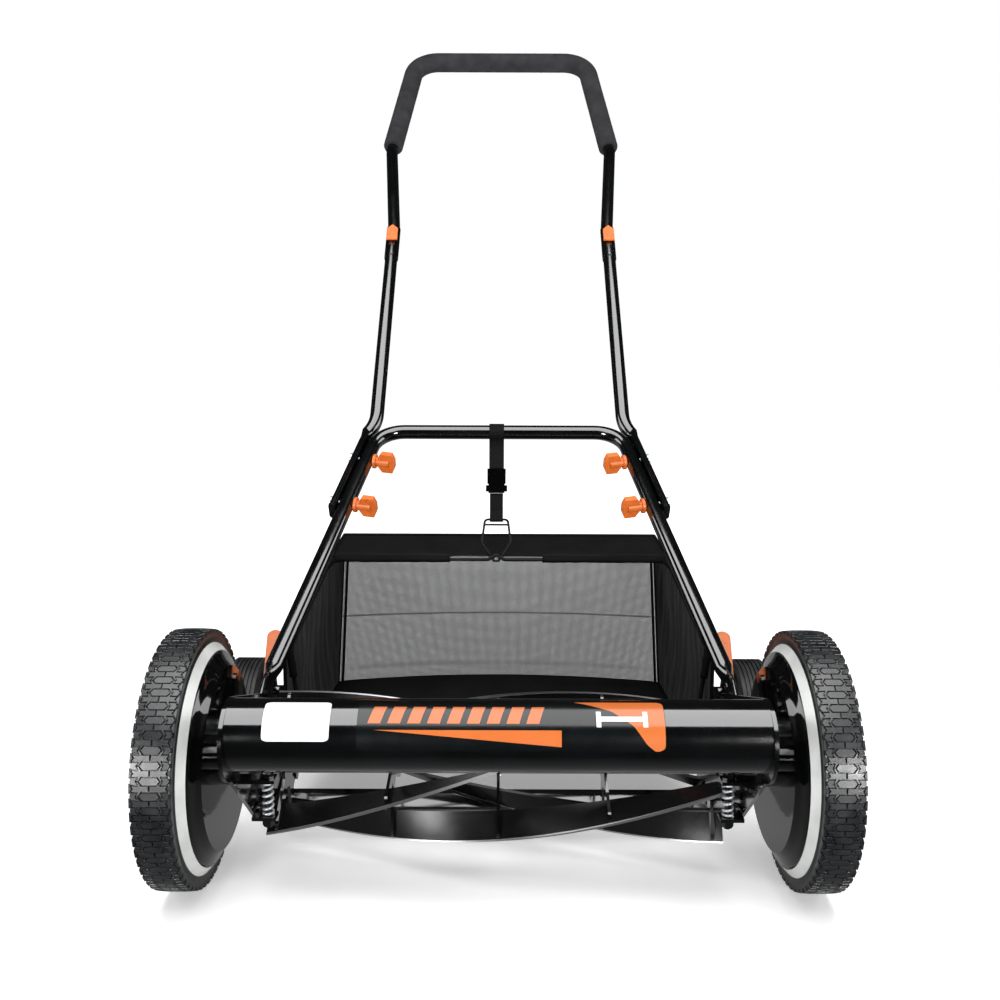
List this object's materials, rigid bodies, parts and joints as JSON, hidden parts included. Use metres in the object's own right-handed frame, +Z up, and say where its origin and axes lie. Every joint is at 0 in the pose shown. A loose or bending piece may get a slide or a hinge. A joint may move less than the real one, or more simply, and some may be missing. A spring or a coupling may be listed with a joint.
{
  "type": "reel mower",
  "caption": "Push reel mower: geared drive wheels turn a helical blade reel against a bed knife, with a telescoping loop handle and a strap-hung rear grass catcher.",
  "frame": {"origin": "on the ground, halfway between the two drive wheels, directly below their axle", "axes": "+X across the mower along the wheel axle, to the left of the person pushing, +Y rearwards to the person pushing, +Z up"},
  "size_m": [0.6548, 1.1641, 1.0722],
  "materials": {
    "black_paint": "gloss black enamel",
    "steel": "bare steel, ground on the cutting edges",
    "blade_steel": "black enamel with bright ground edges",
    "rim_silver": "bright plated rim",
    "tyre_rubber": "matt moulded tread",
    "rear_tyre": "matt ribbed moulding",
    "black_plastic": "glossy black moulding",
    "matt_plastic": "matt black moulding",
    "orange_plastic": "orange moulding",
    "foam": "closed-cell foam, fine pores",
    "zinc": "zinc plated fasteners",
    "bag_cloth": "black woven nylon",
    "bag_mesh": "grey open mesh",
    "webbing": "woven polyester webbing"
  },
  "bodies": {
    "chassis": {"side_plate_left": "black_paint", "side_plate_right": "black_paint", "front_tube": "black_paint", "frame_bolts": "zinc", "rear_tie_rod": "steel", "gear_cover_left": "black_paint", "gear_cover_right": "black_paint", "wheel_axle_left": "steel", "wheel_axle_right": "steel", "reel_bearings": "steel", "lower_handle": "black_paint", "handle_foot_bolts": "zinc", "middle_tube_left": "black_paint", "middle_tube_right": "black_paint", "knob_bolts": "zinc", "arm_pivots": "zinc", "strap_upper": "webbing", "strap_buckle": "matt_plastic", "strap_lower": "webbing"},
    "reel": {"reel_shaft": "steel", "reel_blades": "blade_steel", "reel_spiders": "black_paint", "reel_rivets": "zinc"},
    "cutter": {"cutter_bar": "black_paint", "bed_knife": "steel", "knife_screws": "zinc", "adjuster_springs": "steel"},
    "upper_loop": {"upper_handle": "black_paint", "foam_grip": "foam"},
    "catcher": {"bag_floor": "bag_cloth", "bag_side_left": "bag_mesh", "bag_side_right": "bag_mesh", "bag_rear": "bag_mesh", "bag_flap": "bag_cloth", "catcher_frame": "black_paint", "strap_ring": "black_paint"},
    "wheel_left": {"tyre_left": "tyre_rubber", "rim_ring_left": "rim_silver", "wheel_disc_left": "black_plastic", "hub_cap_left": "black_plastic"},
    "pinion_left": {"pinion_left": "steel"},
    "adjuster_left": {"adjuster_screw_left": "zinc"},
    "height_arm_left": {"height_arm_left": "black_paint", "height_lever_left": "orange_plastic"},
    "rear_wheel_left": {"rear_wheel_left": "rear_tyre"},
    "lock_left": {"lock_button_left": "orange_plastic"},
    "knob_lower_left": {"wing_knob_lower_left": "orange_plastic"},
    "knob_upper_left": {"wing_knob_upper_left": "orange_plastic"},
    "wheel_right": {"tyre_right": "tyre_rubber", "rim_ring_right": "rim_silver", "wheel_disc_right": "black_plastic", "hub_cap_right": "black_plastic"},
    "pinion_right": {"pinion_right": "steel"},
    "adjuster_right": {"adjuster_screw_right": "zinc"},
    "height_arm_right": {"height_arm_right": "black_paint", "height_lever_right": "orange_plastic"},
    "rear_wheel_right": {"rear_wheel_right": "rear_tyre"},
    "lock_right": {"lock_button_right": "orange_plastic"},
    "knob_lower_right": {"wing_knob_lower_right": "orange_plastic"},
    "knob_upper_right": {"wing_knob_upper_right": "orange_plastic"}
  },
  "joints": [
    {"name": "wheel_spin_left", "type": "hinge", "parent": "chassis", "child": "wheel_left", "pos_m": [0, 0, 0.127], "axis": [1, 0, 0], "continuous": true},
    {"name": "wheel_spin_right", "type": "hinge", "parent": "chassis", "child": "wheel_right", "pos_m": [0, 0, 0.127], "axis": [1, 0, 0], "continuous": true},
    {"name": "pinion_spin_left", "type": "hinge", "parent": "chassis", "child": "pinion_left", "pos_m": [0, 0.034, 0.10409], "axis": [1, 0, 0], "continuous": true},
    {"name": "pinion_spin_right", "type": "hinge", "parent": "chassis", "child": "pinion_right", "pos_m": [0, 0.034, 0.10409], "axis": [1, 0, 0], "continuous": true},
    {"name": "reel_spin", "type": "hinge", "parent": "chassis", "child": "reel", "pos_m": [0, 0.034, 0.10409], "axis": [1, 0, 0], "continuous": true},
    {"name": "adjuster_turn_left", "type": "hinge", "parent": "chassis", "child": "adjuster_left", "pos_m": [-0.219, -0.053, 0.124], "axis": [0, 0, 1], "range_deg": [0, 360]},
    {"name": "adjuster_turn_right", "type": "hinge", "parent": "chassis", "child": "adjuster_right", "pos_m": [0.219, -0.053, 0.124], "axis": [0, 0, 1], "range_deg": [0, 360]},
    {"name": "cutter_tilt", "type": "hinge", "parent": "chassis", "child": "cutter", "pos_m": [0, 0.118, 0.06], "axis": [1, 0, 0], "range_deg": [0, 0.42], "deforming": ["adjuster_springs"]},
    {"name": "height_set_left", "type": "hinge", "parent": "chassis", "child": "height_arm_left", "pos_m": [0, 0.084, 0.126], "axis": [1, 0, 0], "range_deg": [-6, 6]},
    {"name": "rear_wheel_spin_left", "type": "hinge", "parent": "height_arm_left", "child": "rear_wheel_left", "pos_m": [0, 0.246, 0.076], "axis": [1, 0, 0], "continuous": true},
    {"name": "height_set_right", "type": "hinge", "parent": "chassis", "child": "height_arm_right", "pos_m": [0, 0.084, 0.126], "axis": [1, 0, 0], "range_deg": [-6, 6]},
    {"name": "rear_wheel_spin_right", "type": "hinge", "parent": "height_arm_right", "child": "rear_wheel_right", "pos_m": [0, 0.246, 0.076], "axis": [1, 0, 0], "continuous": true},
    {"name": "knob_turn_lower_left", "type": "hinge", "parent": "chassis", "child": "knob_lower_left", "pos_m": [-0.19052, 0.29056, 0.3404], "axis": [-0.9849, 0.1464, 0.0926], "range_deg": [0, 360]},
    {"name": "knob_turn_upper_left", "type": "hinge", "parent": "chassis", "child": "knob_upper_left", "pos_m": [-0.17505, 0.36494, 0.38744], "axis": [-0.9849, 0.1464, 0.0926], "range_deg": [0, 360]},
    {"name": "knob_turn_lower_right", "type": "hinge", "parent": "chassis", "child": "knob_lower_right", "pos_m": [0.19052, 0.29056, 0.3404], "axis": [0.9849, 0.1464, 0.0926], "range_deg": [0, 360]},
    {"name": "knob_turn_upper_right", "type": "hinge", "parent": "chassis", "child": "knob_upper_right", "pos_m": [0.17505, 0.36494, 0.38744], "axis": [0.9849, 0.1464, 0.0926], "range_deg": [0, 360]},
    {"name": "loop_slide", "type": "slide", "parent": "chassis", "child": "upper_loop", "axis": [0, 0.6745, 0.7383], "range_m": [0, 0.03]},
    {"name": "lock_press_left", "type": "slide", "parent": "upper_loop", "child": "lock_left", "axis": [0, 0.7383, -0.6745], "range_m": [0, 0.002], "stiffness_N_per_m": 1500},
    {"name": "lock_press_right", "type": "slide", "parent": "upper_loop", "child": "lock_right", "axis": [0, 0.7383, -0.6745], "range_m": [0, 0.002], "stiffness_N_per_m": 1500},
    {"name": "catcher_tilt", "type": "hinge", "parent": "chassis", "child": "catcher", "pos_m": [0, 0.122, 0.118], "axis": [1, 0, 0], "range_deg": [0, 6], "deforming": ["strap_lower"]}
  ],
  "couplings": [
    {"joint": "pinion_spin_left", "follows": "wheel_spin_left", "ratio": 5.1},
    {"joint": "reel_spin", "follows": "wheel_spin_left", "ratio": 5.1},
    {"joint": "pinion_spin_right", "follows": "wheel_spin_right", "ratio": 5.1},
    {"joint": "adjuster_turn_right", "follows": "adjuster_turn_left", "ratio": 1},
    {"joint": "cutter_tilt", "follows": "adjuster_turn_left", "ratio": 0.001166}
  ]
}
